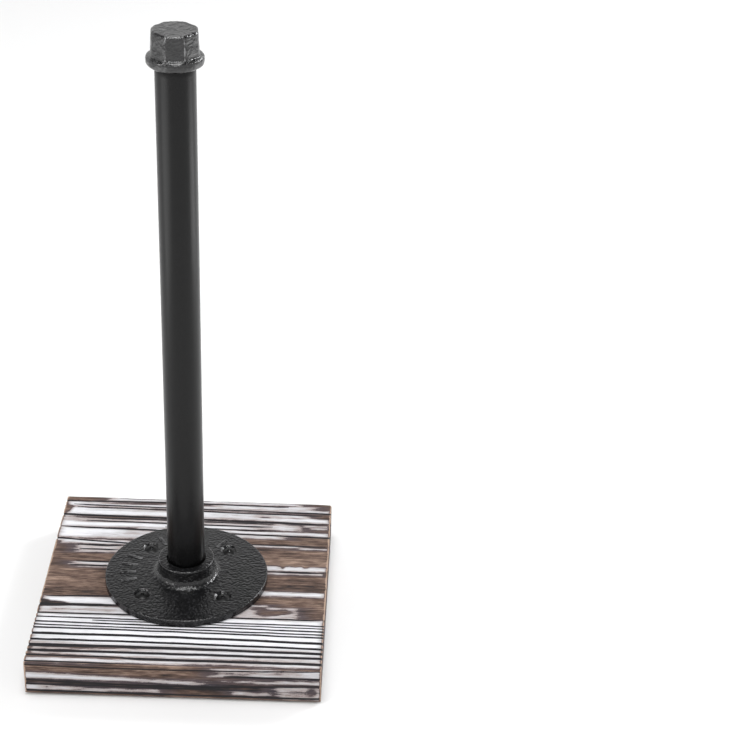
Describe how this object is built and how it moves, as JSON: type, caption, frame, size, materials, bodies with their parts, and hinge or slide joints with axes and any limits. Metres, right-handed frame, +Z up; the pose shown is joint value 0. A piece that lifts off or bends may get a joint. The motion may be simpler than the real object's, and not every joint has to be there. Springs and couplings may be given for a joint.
{
  "type": "paper towel holder",
  "caption": "Free-standing paper towel holder: a square brushed-wood base with a round cast floor flange, a threaded black tube post and an eight-sided cap with a bead.",
  "frame": {"origin": "middle of the surface that the foot pads stand on, on the axis of the post", "axes": "+Z up along the post, +X to the right along the wood's grain, -Y towards the front edge of the base"},
  "size_m": [0.1624, 0.1624, 0.3561],
  "materials": {
    "washed_wood": "torched softwood, wire-brushed along the grain and rubbed with white, the arrises sanded back",
    "black_casting": "cast surface under satin black lacquer",
    "black_screw": "black coated, worn bright in the cross",
    "black_tube": "smooth satin black",
    "black_cap": "cast surface under gloss black lacquer",
    "pad_rubber": "matt"
  },
  "bodies": {
    "base": {"base_board": "washed_wood", "floor_flange": "black_casting", "flange_screw_front_left": "black_screw", "flange_screw_front_right": "black_screw", "flange_screw_back_left": "black_screw", "flange_screw_back_right": "black_screw", "foot_pad_front_left": "pad_rubber", "foot_pad_front_right": "pad_rubber", "foot_pad_back_left": "pad_rubber", "foot_pad_back_right": "pad_rubber"},
    "post": {"post_pipe": "black_tube"},
    "cap": {"pipe_cap": "black_cap"}
  },
  "joints": [
    {"name": "post_rise", "type": "slide", "parent": "base", "child": "post", "axis": [0, 0, 1], "range_m": [0, 0.01058]},
    {"name": "cap_turn", "type": "hinge", "parent": "post", "child": "cap", "pos_m": [0, 0, 0.3467], "axis": [0, 0, 1], "range_deg": [0, 2100]}
  ],
  "couplings": [
    {"joint": "cap_turn", "follows": "post_rise", "rad_per_m": 3463.7}
  ]
}
